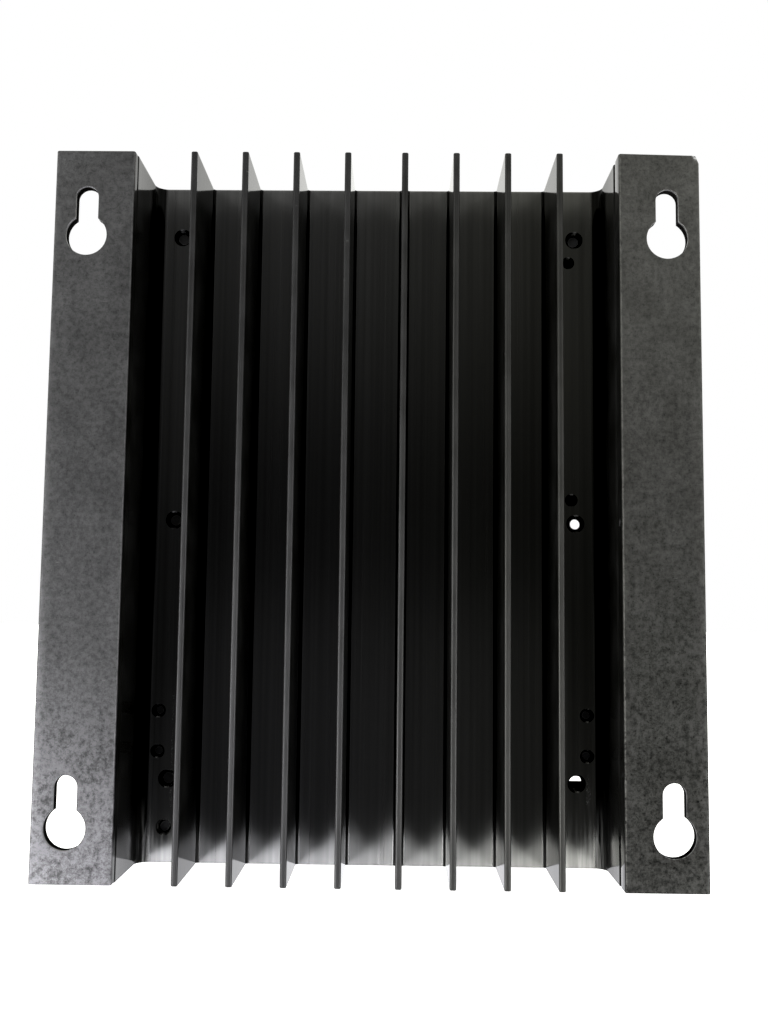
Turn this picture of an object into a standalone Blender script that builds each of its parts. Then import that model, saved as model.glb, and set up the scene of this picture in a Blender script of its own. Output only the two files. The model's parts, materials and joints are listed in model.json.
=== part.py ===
"""A wall-mounted solar charge controller.

An extruded, finned aluminium chassis hangs on four keyholes. Its fins face the wall (+Y) and
its flat base carries the electronics on the front (-Y). The origin is the centre of the
plane that lies on the wall, and +Z is up. "Depth" is measured forward (-Y) from the front
face of the chassis base.
"""

import math

import bmesh
import bpy
from mathutils import Matrix, Vector

MM = 0.001
GAP = 0.3 * MM
OVERSHOOT = 1 * MM

# Chassis extrusion
WIDTH = 200 * MM
LENGTH = 223.5 * MM
FIN_HEIGHT = 31 * MM
BASE_THICKNESS = 6 * MM
FLANGE_THICKNESS = 3.7 * MM
FLANGE_WIDTH = 24.9 * MM
WALL_THICKNESS = 3.7 * MM
WALL_FILLET = 4 * MM
FIN_THICKNESS = 2 * MM
FIN_PITCH = 16 * MM
FIRST_FIN_X = 8.9 * MM
FINS_A_SIDE = 4
FIN_ROOT_RADIUS = 1.0 * MM
FIN_TIP_RADIUS = 0.6 * MM
EDGE_RADIUS = 0.8 * MM

# Keyholes in the flanges
KEYHOLE_X = 89.9 * MM
KEYHOLE_Z = (84.7 * MM, -95.6 * MM)
KEYHOLE_RADIUS = 6.35 * MM
SLOT_RADIUS = 3.5 * MM
SLOT_RISE = 12 * MM

# Tapped holes in the base
COVER_HOLE_X = 66.1 * MM
COVER_HOLE_Z = (94.8 * MM, -1.2 * MM, -85.2 * MM)
COVER_HOLE_RADIUS = 2.6 * MM
PLATE_HOLE_X = 69.5 * MM
PLATE_HOLE_Z = (-63.5 * MM, -76.5 * MM)
PLATE_HOLE_RADIUS = 1.9 * MM
GROUND_HOLE = (66.8 * MM, -100.6 * MM)
GROUND_HOLE_RADIUS = 2.3 * MM
SPARE_HOLES = ((-64.1 * MM, 86.9 * MM), (-64.8 * MM, 6.6 * MM))
SPARE_HOLE_RADIUS = 1.75 * MM
CLAMP_HOLE_X = 24 * MM
CLAMP_HOLE_RADIUS = 2.0 * MM
CLAMP_HOLE_DEPTH = 5 * MM

# Circuit board on its standoffs
BOARD_X = 54 * MM
BOARD_Z = (-47 * MM, 72 * MM)
BOARD_DEPTH = (10.1 * MM, 11.7 * MM)
STANDOFF_X = 49 * MM
STANDOFF_Z = (-42 * MM, 67 * MM)
STANDOFF_RADIUS = 3.2 * MM
STANDOFF_BORE_RADIUS = 1.6 * MM
STANDOFF_BORE_LENGTH = 6 * MM

# Power transistors clamped to the base above the board
TRANSISTOR_X = (-36 * MM, -12 * MM, 12 * MM, 36 * MM)
TRANSISTOR_WIDTH = 15.9 * MM
TRANSISTOR_Z = (77.5 * MM, 98.3 * MM)
TRANSISTOR_DEPTH = (1.0 * MM, 6.0 * MM)
LEAD_PITCH = 5.45 * MM
LEAD_WIDTH = 1.2 * MM
LEAD_THICKNESS = 0.6 * MM
CLAMP_BAR_Z = (83.5 * MM, 92.5 * MM)
CLAMP_BAR_DEPTH = (6.3 * MM, 9.3 * MM)

# Parts on the board
CAPACITOR_X = 34 * MM
CAPACITOR_Z = 51 * MM
CAPACITOR_RADIUS = 9 * MM
DISPLAY_Z = 14 * MM
DISPLAY_VIEW = (66 * MM, 17 * MM)
DISPLAY_CARD = (80 * MM, 36 * MM)
DISPLAY_FRAME = (71 * MM, 25 * MM)
DISPLAY_LEGS = (37 * MM, 15 * MM)
DISPLAY_PANE = (74 * MM, 23 * MM)
PANE_THICKNESS = 1.5 * MM
LED_RADIUS = 2.4 * MM
LED_HOLE_RADIUS = 2.9 * MM
LED_X = (-20 * MM, 0.0, 20 * MM)
LED_Z = -14 * MM
BUTTON_X = (-16 * MM, 16 * MM)
BUTTON_Z = -31 * MM
BUTTON_TRAVEL = 1.0 * MM
BUTTON_RADIUS = 4.5 * MM

# Folded covers
SHEET = 1.2 * MM
COVER_HALF_WIDTH = 60 * MM
COVER_DEPTH = 31.5 * MM
FOOT_REACH = 75 * MM
FRONT_COVER_Z = (-51.5 * MM, 109.5 * MM)
WIRING_COVER_Z = (-110.5 * MM, -52.3 * MM)
WIRING_SIDE_DEPTH = 2.4 * MM
LUG_Z = (-95.5 * MM, -81.4 * MM)
SHORT_LUG_TOP = -85.3 * MM
VENT_PITCH = 7 * MM
VENT_COUNT = 9
VENT_FIRST_Z = 28 * MM
VENT_HEIGHT = 2.6 * MM
VENT_DEPTH = (8 * MM, 24 * MM)
CABLE_HOLE_X = (-28 * MM, 28 * MM)
CABLE_HOLE_DEPTH = 16 * MM
CABLE_HOLE_RADIUS = 10 * MM
GROMMET_BORE_RADIUS = 7.2 * MM
GROMMET_FLANGE_RADIUS = 12 * MM
GROMMET_LIP = 1.8 * MM
BEND_RADIUS = 0.8 * MM
FOOT_HOLE_RADIUS = 2.75 * MM
FOOT_CUT = (-1 * MM, 3 * MM)
# The foot's hole behind the cover hole that has no screw, as (x, z, radius)
SPARE_FOOT_HOLE = (-67 * MM, -0.8 * MM, 1.7 * MM)
LABEL_X = 50 * MM
LABEL_Z = (-44 * MM, 92 * MM)
LABEL_CORNER = 4 * MM
LABEL_THICKNESS = 0.5 * MM

# Terminal block
TERMINAL_X = (-33 * MM, -11 * MM, 11 * MM, 33 * MM)
TERMINAL_Z = -71 * MM
HOUSING_X = 45.5 * MM
HOUSING_Z = (-84 * MM, -59 * MM)
HOUSING_DEPTH = (2.1 * MM, 29 * MM)
POCKET_DEPTH = (4.0 * MM, 23.2 * MM)
POCKET_Z = (-79.6 * MM, -62.4 * MM)
POCKET_X = 7.3 * MM
WIRE_ENTRY_TOP = 11.8 * MM
CAGE_DEPTH = (4.4 * MM, 16.9 * MM)
CAGE_OPENING_DEPTH = (5.9 * MM, 15.0 * MM)
CAGE_X = 6.9 * MM
CAGE_OPENING_X = 5.4 * MM
CAGE_Z = (-77.5 * MM, -64.5 * MM)
CAGE_BORE_RADIUS = 2.7 * MM
BAR_DEPTH = (12 * MM, 14 * MM)
BAR_X = 5 * MM
BAR_Z = (-78 * MM, -41 * MM)
SCREW_SEAT_DEPTH = 24.7 * MM
CLAMP_SHANK_RADIUS = 2.3 * MM
CLAMP_HEAD_RADIUS = 3.8 * MM
PLATE_DEPTH = (0.3 * MM, 1.8 * MM)
PLATE_X = 74.5 * MM
PLATE_Z = (-81 * MM, -58 * MM)

FACE_Y = -(FIN_HEIGHT + BASE_THICKNESS)
FORWARD = Matrix.Rotation(math.pi / 2, 4, "X")
RECESS_DEPTH = 1.2 * MM
RECESS_WIDTH = 0.8 * MM
ROUND_STEPS = 20
SCREW_STEPS = 12
SMOOTH_ANGLE = math.radians(35)


def clear_scene():
    """Removes every object of the scene that the script starts in."""
    for thing in list(bpy.data.objects):
        bpy.data.objects.remove(thing, do_unlink=True)


def finish(name, colour, roughness, metallic):
    """A Principled BSDF material, made once for each name."""
    material = bpy.data.materials.get(name)
    if material is None:
        material = bpy.data.materials.new(name)
        material.use_nodes = True
        shader = material.node_tree.nodes["Principled BSDF"]
        shader.inputs["Base Color"].default_value = (*colour, 1.0)
        shader.inputs["Roughness"].default_value = roughness
        shader.inputs["Metallic"].default_value = metallic
    return material


def black_anodise():
    return finish("black_anodise", (0.018, 0.018, 0.02), 0.32, 0.6)


def black_paint():
    return finish("black_powder_coat", (0.03, 0.03, 0.032), 0.5, 0.0)


def zinc():
    return finish("zinc_plate", (0.62, 0.62, 0.6), 0.35, 1.0)


def black_steel():
    return finish("black_screw_steel", (0.05, 0.05, 0.052), 0.38, 1.0)


def brass():
    return finish("nickel_brass", (0.72, 0.66, 0.5), 0.3, 1.0)


def copper():
    return finish("tinned_copper", (0.75, 0.6, 0.5), 0.3, 1.0)


def board_green():
    return finish("circuit_board", (0.02, 0.16, 0.06), 0.45, 0.0)


def black_plastic():
    return finish("black_plastic", (0.025, 0.025, 0.025), 0.45, 0.0)


def green_plastic():
    return finish("terminal_plastic", (0.03, 0.05, 0.04), 0.5, 0.0)


def grey_plastic():
    return finish("button_plastic", (0.25, 0.26, 0.28), 0.4, 0.0)


def silicone():
    return finish("silicone_pad", (0.45, 0.46, 0.48), 0.8, 0.0)


def rubber():
    return finish("grommet_rubber", (0.02, 0.02, 0.02), 0.7, 0.0)


def clear_plastic():
    return finish("clear_window", (0.75, 0.8, 0.8), 0.08, 0.0)


def led_plastic():
    return finish("led_lens", (0.55, 0.75, 0.5), 0.15, 0.0)


def can_sleeve():
    return finish("capacitor_sleeve", (0.02, 0.03, 0.08), 0.35, 0.0)


def display_grey():
    return finish("display_frame", (0.08, 0.09, 0.1), 0.4, 0.3)


def label_film():
    return finish("front_label", (0.32, 0.34, 0.36), 0.45, 0.0)


def place(x, depth, z):
    """The point at a depth in front of the chassis base."""
    return Vector((x, FACE_Y - depth, z))


def forward_at(x, z):
    """A frame on the base's front face whose own Z axis points forward."""
    return Matrix.Translation(place(x, 0, z)) @ FORWARD


def rounded(corners, steps):
    """An outline from (x, y, radius) corners, each rounded with an arc of that many steps."""
    outline = []
    for index, (x, y, radius) in enumerate(corners):
        here = Vector((x, y))
        if radius == 0:
            outline.append(here)
            continue
        before = (Vector(corners[index - 1][:2]) - here).normalized()
        after = (Vector(corners[(index + 1) % len(corners)][:2]) - here).normalized()
        half = before.angle(after) / 2
        centre = here + (before + after).normalized() * radius / math.sin(half)
        start = here + before * radius / math.tan(half) - centre
        end = here + after * radius / math.tan(half) - centre
        for step in range(steps + 1):
            outline.append(centre + start.slerp(end, step / steps).normalized() * radius)
    return outline


def add_prism(bm, outline, frame, height):
    """Extrudes an outline in the frame's XY plane along the frame's Z axis."""
    points = [bm.verts.new(frame @ Vector((*point, 0.0))) for point in outline]
    face = bm.faces.new(points)
    made = bmesh.ops.extrude_face_region(bm, geom=[face])["geom"]
    moved = [item for item in made if isinstance(item, bmesh.types.BMVert)]
    shift = frame.to_3x3() @ Vector((0, 0, height))
    bmesh.ops.translate(bm, verts=moved, vec=shift)


def add_block(bm, x, depth, z):
    """A box between two values across, two depths and two heights."""
    size = Vector((x[1] - x[0], depth[1] - depth[0], z[1] - z[0]))
    centre = place(sum(x) / 2, sum(depth) / 2, sum(z) / 2)
    bmesh.ops.create_cube(bm, size=1, matrix=Matrix.LocRotScale(centre, None, size))


def centred(width, depth, height, z):
    """The three spans of a box that is centred across and at a height."""
    return (-width / 2, width / 2), depth, (z - height / 2, z + height / 2)


def add_rod(bm, x, z, radius, depth, steps=ROUND_STEPS):
    """A round rod that points forward, between two depths."""
    frame = forward_at(x, z) @ Matrix.Translation((0, 0, sum(depth) / 2))
    bmesh.ops.create_cone(
        bm,
        cap_ends=True,
        segments=steps,
        radius1=radius,
        radius2=radius,
        depth=depth[1] - depth[0],
        matrix=frame,
    )


def add_turned(bm, frame, profile, steps=ROUND_STEPS, ring=False):
    """Spins (radius, height) points about the frame's Z axis; a ring's profile is a loop."""
    points = [bm.verts.new(frame @ Vector((radius, 0, height))) for radius, height in profile]
    ends = points[1:] + points[:1] if ring else points[1:]
    edges = [bm.edges.new(pair) for pair in zip(points, ends)]
    bmesh.ops.spin(
        bm,
        geom=points + edges,
        cent=frame.translation,
        axis=frame.to_3x3() @ Vector((0, 0, 1)),
        angle=2 * math.pi,
        steps=steps,
        use_merge=True,
    )
    if not ring:
        bmesh.ops.holes_fill(bm, edges=[edge for edge in bm.edges if edge.is_boundary])


def solid(fill, *arguments):
    """A new bmesh filled by one of the shape functions."""
    bm = bmesh.new()
    fill(bm, *arguments)
    return bm


def to_mesh(name, bm, origin):
    """Turns a bmesh in world coordinates into a mesh about its origin."""
    bmesh.ops.recalc_face_normals(bm, faces=bm.faces)
    bmesh.ops.translate(bm, verts=bm.verts, vec=-origin)
    mesh = bpy.data.meshes.new(name)
    bm.to_mesh(mesh)
    bm.free()
    mesh.shade_smooth()
    mesh.set_sharp_from_angle(angle=SMOOTH_ANGLE)
    return mesh


def add_object(name, mesh, origin, material, group):
    """Places a mesh as a named part in its group."""
    part = bpy.data.objects.new(name, mesh)
    part.location = origin
    part.parent = group
    if material and not mesh.materials:
        mesh.materials.append(material)
    bpy.context.scene.collection.objects.link(part)
    return part


def add_part(name, bm, material, group, origin=(0, 0, 0)):
    """A named part from a bmesh in world coordinates."""
    origin = Vector(origin)
    return add_object(name, to_mesh(name, bm, origin), origin, material, group)


def shape(part, operation, bm):
    """Joins a second solid to a part, or cuts it away, with a Boolean modifier."""
    name = f"{part.name}_{operation.lower()}_tool"
    tool = add_part(name, bm, None, None)
    tool.hide_render = True
    tool.display_type = "WIRE"
    modifier = part.modifiers.new(operation.title(), "BOOLEAN")
    modifier.operation = operation
    modifier.solver = "EXACT"
    modifier.object = tool


def shared_mesh(name, bm, cutters, origin, material):
    """The mesh of one solid less its cutters, for several parts to share."""
    blank = add_part(name, bm, material, None, origin)
    for cutter in cutters:
        shape(blank, "DIFFERENCE", cutter)
    tools = [modifier.object for modifier in blank.modifiers]
    bpy.context.view_layer.update()
    graph = bpy.context.evaluated_depsgraph_get()
    mesh = bpy.data.meshes.new_from_object(blank.evaluated_get(graph))
    mesh.name = name
    for used in (blank, *tools):
        bpy.data.objects.remove(used, do_unlink=True)
    return mesh


def group_at(name, parent=None):
    """An empty that gathers the pieces of one group."""
    group = bpy.data.objects.new(name, None)
    group.parent = parent
    group.empty_display_size = 0.02
    bpy.context.scene.collection.objects.link(group)
    return group


# --- Chassis -------------------------------------------------------------------------


def fin_corners(x):
    """The corners of one fin, from the base's back face up to the wall plane and back."""
    half = FIN_THICKNESS / 2
    return [
        (x - half, -FIN_HEIGHT, FIN_ROOT_RADIUS),
        (x - half, 0.0, FIN_TIP_RADIUS),
        (x + half, 0.0, FIN_TIP_RADIUS),
        (x + half, -FIN_HEIGHT, FIN_ROOT_RADIUS),
    ]


def fin_positions():
    right = [FIRST_FIN_X + FIN_PITCH * index for index in range(FINS_A_SIDE)]
    return [-x for x in reversed(right)] + right


def chassis_outline():
    """The extrusion's section: flanges on the wall, side walls, base and fins."""
    edge = WIDTH / 2
    inner = edge - FLANGE_WIDTH
    outer = inner + WALL_THICKNESS
    corners = [
        (-edge, 0.0, EDGE_RADIUS),
        (-inner, 0.0, EDGE_RADIUS),
        (-inner, -FIN_HEIGHT, WALL_FILLET),
    ]
    for x in fin_positions():
        corners += fin_corners(x)
    corners += [
        (inner, -FIN_HEIGHT, WALL_FILLET),
        (inner, 0.0, EDGE_RADIUS),
        (edge, 0.0, EDGE_RADIUS),
        (edge, -FLANGE_THICKNESS, EDGE_RADIUS),
        (outer, -FLANGE_THICKNESS, FIN_ROOT_RADIUS),
        (outer, FACE_Y, EDGE_RADIUS),
        (-outer, FACE_Y, EDGE_RADIUS),
        (-outer, -FLANGE_THICKNESS, FIN_ROOT_RADIUS),
        (-edge, -FLANGE_THICKNESS, EDGE_RADIUS),
    ]
    return rounded(corners, 3)


def keyhole_outline():
    """A round hole with a narrower slot above it, about the centre of the round hole."""
    mouth = math.asin(SLOT_RADIUS / KEYHOLE_RADIUS)
    sweep = 2 * (math.pi - mouth)
    steps = 24
    outline = []
    for step in range(steps + 1):
        angle = math.pi / 2 + mouth + sweep * step / steps
        outline.append((KEYHOLE_RADIUS * math.cos(angle), KEYHOLE_RADIUS * math.sin(angle)))
    top_steps = 10
    for step in range(top_steps + 1):
        angle = math.pi * step / top_steps
        outline.append((SLOT_RADIUS * math.cos(angle), SLOT_RISE + SLOT_RADIUS * math.sin(angle)))
    return outline


def chassis_cutter():
    """Every keyhole and hole of the chassis, as one set of separate solids."""
    bm = bmesh.new()
    from_wall = Matrix.Translation((0, 0, FACE_Y - OVERSHOOT))
    through = (-BASE_THICKNESS - OVERSHOOT, OVERSHOOT)
    blind = (-CLAMP_HOLE_DEPTH, OVERSHOOT)
    clamp_z = sum(CLAMP_BAR_Z) / 2
    for side in (-1, 1):
        for z in KEYHOLE_Z:
            frame = forward_at(side * KEYHOLE_X, z) @ from_wall
            add_prism(bm, keyhole_outline(), frame, FLANGE_THICKNESS + 2 * OVERSHOOT)
        for z in COVER_HOLE_Z:
            add_rod(bm, side * COVER_HOLE_X, z, COVER_HOLE_RADIUS, through)
        for z in PLATE_HOLE_Z:
            add_rod(bm, side * PLATE_HOLE_X, z, PLATE_HOLE_RADIUS, through)
        add_rod(bm, side * CLAMP_HOLE_X, clamp_z, CLAMP_HOLE_RADIUS, blind)
    add_rod(bm, *GROUND_HOLE, GROUND_HOLE_RADIUS, through)
    for x, z in SPARE_HOLES:
        add_rod(bm, x, z, SPARE_HOLE_RADIUS, through)
    return bm


def make_chassis(group):
    frame = Matrix.Translation((0, 0, -LENGTH / 2))
    bm = solid(add_prism, chassis_outline(), frame, LENGTH)
    chassis = add_part("heatsink_chassis", bm, black_anodise(), group)
    shape(chassis, "DIFFERENCE", chassis_cutter())


# --- Screws and washers ---------------------------------------------------------------


def cross_recess(bm, x, z, arm, width, depth):
    """The cross cut of a screw head."""
    a = arm / 2
    w = width / 2
    outline = [(a, w), (w, w), (w, a), (-w, a), (-w, w), (-a, w)]
    outline += [(-a, -w), (-w, -w), (-w, -a), (w, -a), (w, -w), (a, -w)]
    frame = forward_at(x, z) @ Matrix.Translation((0, 0, depth[0]))
    add_prism(bm, outline, frame, depth[1] - depth[0])


def pan_screw_mesh(name, head_radius, head_height, shank_radius, shank_length):
    """A pan-head screw about the centre of its seat."""
    profile = [
        (shank_radius * 0.8, -shank_length),
        (shank_radius, -shank_length + 0.4 * MM),
        (shank_radius, 0),
        (head_radius, 0),
        (head_radius, head_height * 0.55),
        (head_radius * 0.72, head_height),
    ]
    bm = solid(add_turned, forward_at(0, 0), profile, SCREW_STEPS)
    recess = (head_height - RECESS_DEPTH, head_height + OVERSHOOT)
    cutter = solid(cross_recess, 0, 0, head_radius * 1.1, RECESS_WIDTH, recess)
    return shared_mesh(name, bm, [cutter], place(0, 0, 0), black_steel())


def put_screw(name, mesh, x, depth, z, group):
    add_object(name, mesh, place(x, depth, z), None, group)


def washer(bm, x, z, inner, outer, depth):
    profile = [(inner, depth[0]), (outer, depth[0]), (outer, depth[1]), (inner, depth[1])]
    add_turned(bm, forward_at(x, z), profile, ROUND_STEPS, True)


def make_ground_screw(group):
    """The earthing screw and its washer beside the wiring cover."""
    x, z = GROUND_HOLE
    under = (GAP, 1.1 * MM)
    bm = solid(washer, x, z, GROUND_HOLE_RADIUS, 4.6 * MM, under)
    add_part("ground_washer", bm, zinc(), group)
    mesh = pan_screw_mesh("ground_screw", 4.0 * MM, 2.6 * MM, 1.95 * MM, 5.4 * MM)
    put_screw("ground_screw", mesh, x, under[1] + GAP, z, group)


# --- Circuit board and its parts ------------------------------------------------------


def board_hole_places():
    return [(side * STANDOFF_X, z) for side in (-1, 1) for z in STANDOFF_Z]


def make_board(group):
    """The main board, its four hexagonal standoffs and their screws."""
    bm = solid(add_block, (-BOARD_X, BOARD_X), BOARD_DEPTH, BOARD_Z)
    board = add_part("main_circuit_board", bm, board_green(), group)
    holes = bmesh.new()
    past_board = (BOARD_DEPTH[0] - OVERSHOOT, BOARD_DEPTH[1] + OVERSHOOT)
    for x, z in board_hole_places():
        add_rod(holes, x, z, STANDOFF_BORE_RADIUS + GAP, past_board, 12)
    shape(board, "DIFFERENCE", holes)
    top = BOARD_DEPTH[0] - GAP
    pillar = solid(add_rod, 0, 0, STANDOFF_RADIUS, (GAP, top), 6)
    bore = (top - STANDOFF_BORE_LENGTH, top + OVERSHOOT)
    cutter = solid(add_rod, 0, 0, STANDOFF_BORE_RADIUS, bore, 12)
    pillar_mesh = shared_mesh("board_standoff", pillar, [cutter], place(0, 0, 0), brass())
    screw_mesh = pan_screw_mesh("board_screw", 2.8 * MM, 1.9 * MM, 1.25 * MM, 6.5 * MM)
    for number, (x, z) in enumerate(board_hole_places(), 1):
        add_object(f"board_standoff_{number}", pillar_mesh, place(x, 0, z), None, group)
        put_screw(f"board_screw_{number}", screw_mesh, x, BOARD_DEPTH[1] + GAP, z, group)


def lead_outline():
    """A transistor lead in the plane of up and forward, bent from the body over the board."""
    low = TRANSISTOR_DEPTH[0] + 1.8 * MM
    high = BOARD_DEPTH[1] + GAP
    inside = TRANSISTOR_Z[0] + 1.5 * MM
    bend = TRANSISTOR_Z[0] - 3.5 * MM
    end = BOARD_Z[1] - 4 * MM
    t = LEAD_THICKNESS
    return [
        (inside, low),
        (bend - t, low),
        (bend - t, high),
        (end, high),
        (end, high + t),
        (bend, high + t),
        (bend, low + t),
        (inside, low + t),
    ]


def add_leads(bm, x):
    """Three leads side by side, drawn as (up, forward) and extruded across."""
    across = Matrix(((0, 0, 1, 0), (0, -1, 0, FACE_Y), (1, 0, 0, 0), (0, 0, 0, 1)))
    for offset in (-LEAD_PITCH, 0, LEAD_PITCH):
        start = Matrix.Translation((x + offset - LEAD_WIDTH / 2, 0, 0))
        add_prism(bm, lead_outline(), start @ across, LEAD_WIDTH)


def make_transistors(group):
    """Four power transistors on an insulating pad, pressed to the base by one bar."""
    for number, x in enumerate(TRANSISTOR_X, 1):
        half = TRANSISTOR_WIDTH / 2
        bm = solid(add_block, (x - half, x + half), TRANSISTOR_DEPTH, TRANSISTOR_Z)
        part = add_part(f"power_transistor_{number}", bm, black_plastic(), group)
        shape(part, "UNION", solid(add_leads, x))
    margin = 3 * MM
    reach = TRANSISTOR_X[-1] + TRANSISTOR_WIDTH / 2 + margin
    pad_z = (TRANSISTOR_Z[0] + 1 * MM, TRANSISTOR_Z[1] + 1 * MM)
    pad_bm = solid(add_block, (-reach, reach), (GAP, TRANSISTOR_DEPTH[0] - GAP), pad_z)
    pad = add_part("insulating_pad", pad_bm, silicone(), group)
    bar_bm = solid(add_block, (-reach, reach), CLAMP_BAR_DEPTH, CLAMP_BAR_Z)
    bar = add_part("transistor_clamp_bar", bar_bm, zinc(), group)
    screw_mesh = pan_screw_mesh("clamp_bar_screw", 3.6 * MM, 2.4 * MM, 1.65 * MM, 13.6 * MM)
    z = sum(CLAMP_BAR_Z) / 2
    for part in (pad, bar):
        holes = bmesh.new()
        for side in (-1, 1):
            add_rod(holes, side * CLAMP_HOLE_X, z, CLAMP_HOLE_RADIUS + GAP, (-1 * MM, 12 * MM), 16)
        shape(part, "DIFFERENCE", holes)
    for number, side in enumerate((-1, 1), 1):
        name = f"clamp_bar_screw_{number}"
        put_screw(name, screw_mesh, side * CLAMP_HOLE_X, CLAMP_BAR_DEPTH[1] + GAP, z, group)


def make_capacitors(group):
    """Two electrolytic cans with a rolled groove near the board."""
    base = BOARD_DEPTH[1] + GAP
    r = CAPACITOR_RADIUS
    profile = [
        (r - 0.5 * MM, base),
        (r, base + 0.5 * MM),
        (r, base + 1.6 * MM),
        (r - 0.6 * MM, base + 2.2 * MM),
        (r, base + 2.8 * MM),
        (r, base + 15.4 * MM),
        (r - 0.6 * MM, base + 16 * MM),
    ]
    for number, side in enumerate((-1, 1), 1):
        x = side * CAPACITOR_X
        bm = solid(add_turned, forward_at(x, CAPACITOR_Z), profile, ROUND_STEPS)
        add_part(f"capacitor_{number}", bm, can_sleeve(), group)


def make_display(group):
    """A character display module that stands over the board on four legs."""
    base = BOARD_DEPTH[1] + GAP
    card = (base + 8.4 * MM, base + 10 * MM)
    glass_front = base + 15.9 * MM
    width, height = DISPLAY_CARD
    bm = solid(add_block, *centred(width, card, height, DISPLAY_Z))
    module = add_part("display_module", bm, display_grey(), group)
    extra = bmesh.new()
    width, height = DISPLAY_FRAME
    add_block(extra, *centred(width, (card[0] + 1 * MM, glass_front), height, DISPLAY_Z))
    across, up = DISPLAY_LEGS
    for x in (-across, across):
        for z in (DISPLAY_Z - up, DISPLAY_Z + up):
            add_rod(extra, x, z, 2 * MM, (base, card[0] + 0.5 * MM), 10)
    shape(module, "UNION", extra)


def make_leds(group):
    """Three status lights on spacers that reach through the front cover."""
    base = BOARD_DEPTH[1] + GAP
    rim = base + 1 * MM
    dome = COVER_DEPTH - 0.1 * MM
    r = LED_RADIUS
    profile = [(r + 0.5 * MM, base), (r + 0.5 * MM, rim), (r, rim), (r, dome)]
    for step in range(1, 4):
        angle = math.radians(25 * step)
        profile.append((r * math.cos(angle), dome + r * math.sin(angle)))
    for number, x in enumerate(LED_X, 1):
        bm = solid(add_turned, forward_at(x, LED_Z), profile, SCREW_STEPS)
        add_part(f"status_led_{number}", bm, led_plastic(), group)


def make_switches(group):
    """Two key switches on the board, and the push buttons that slide in them."""
    base = BOARD_DEPTH[1] + GAP
    top = base + 4.3 * MM
    bore_floor = base + 0.9 * MM
    stem_end = bore_floor + BUTTON_TRAVEL + 0.4 * MM
    stem = 1.8 * MM
    cap_back = 26 * MM
    cap_front = 34.8 * MM
    profile = [
        (stem, stem_end),
        (stem, cap_back),
        (BUTTON_RADIUS, cap_back),
        (BUTTON_RADIUS, cap_front - 0.8 * MM),
        (BUTTON_RADIUS - 0.8 * MM, cap_front),
    ]
    for number, x in enumerate(BUTTON_X, 1):
        z = BUTTON_Z
        half = 6 * MM
        bm = solid(add_block, (x - half, x + half), (base, top), (z - half, z + half))
        switch = add_part(f"key_switch_{number}", bm, black_plastic(), group)
        bore = solid(add_rod, x, z, stem + 0.4 * MM, (bore_floor, top + OVERSHOOT), 16)
        shape(switch, "DIFFERENCE", bore)
        button = solid(add_turned, forward_at(x, z), profile, ROUND_STEPS)
        origin = place(x, cap_front, z)
        add_part(f"push_button_{number}", button, grey_plastic(), group, origin)


# --- Terminal block -------------------------------------------------------------------


def housing_pockets():
    """For each pole the pocket that its clamp cage slides in."""
    bm = bmesh.new()
    for x in TERMINAL_X:
        add_block(bm, (x - POCKET_X, x + POCKET_X), POCKET_DEPTH, POCKET_Z)
    return bm


def housing_passages():
    """For each pole the wire entry below, the bar's slot above and the screw's well in front."""
    bm = bmesh.new()
    slot = BAR_X + GAP
    shank = CLAMP_SHANK_RADIUS + 0.5 * MM
    well = CLAMP_HEAD_RADIUS + 0.5 * MM
    for x in TERMINAL_X:
        entry_z = (HOUSING_Z[0] - OVERSHOOT, POCKET_Z[0] + OVERSHOOT)
        add_block(bm, (x - POCKET_X, x + POCKET_X), (POCKET_DEPTH[0], WIRE_ENTRY_TOP), entry_z)
        slot_z = (POCKET_Z[1] - OVERSHOOT, HOUSING_Z[1] + OVERSHOOT)
        add_block(bm, (x - slot, x + slot), (BAR_DEPTH[0] - GAP, BAR_DEPTH[1] + GAP), slot_z)
        profile = [
            (shank, POCKET_DEPTH[1] - OVERSHOOT),
            (shank, SCREW_SEAT_DEPTH - GAP),
            (well, SCREW_SEAT_DEPTH - GAP),
            (well, HOUSING_DEPTH[1] + OVERSHOOT),
        ]
        add_turned(bm, forward_at(x, TERMINAL_Z), profile, 16)
    return bm


def make_terminal_block(group):
    """The plate and the insulating housing of the power terminals."""
    bm = solid(add_block, (-PLATE_X, PLATE_X), PLATE_DEPTH, PLATE_Z)
    plate = add_part("terminal_plate", bm, zinc(), group)
    holes = bmesh.new()
    past_plate = (PLATE_DEPTH[0] - OVERSHOOT, PLATE_DEPTH[1] + OVERSHOOT)
    for side in (-1, 1):
        for z in PLATE_HOLE_Z:
            add_rod(holes, side * PLATE_HOLE_X, z, PLATE_HOLE_RADIUS + GAP, past_plate, 16)
    shape(plate, "DIFFERENCE", holes)
    screw_mesh = pan_screw_mesh("terminal_plate_screw", 3.3 * MM, 2.1 * MM, 1.55 * MM, 5.9 * MM)
    seat = PLATE_DEPTH[1] + GAP
    places = [(side * PLATE_HOLE_X, z) for side in (-1, 1) for z in PLATE_HOLE_Z]
    for number, (x, z) in enumerate(places, 1):
        put_screw(f"terminal_plate_screw_{number}", screw_mesh, x, seat, z, group)
    bm = solid(add_block, (-HOUSING_X, HOUSING_X), HOUSING_DEPTH, HOUSING_Z)
    housing = add_part("terminal_housing", bm, green_plastic(), group)
    shape(housing, "DIFFERENCE", housing_pockets())
    shape(housing, "DIFFERENCE", housing_passages())


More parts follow.
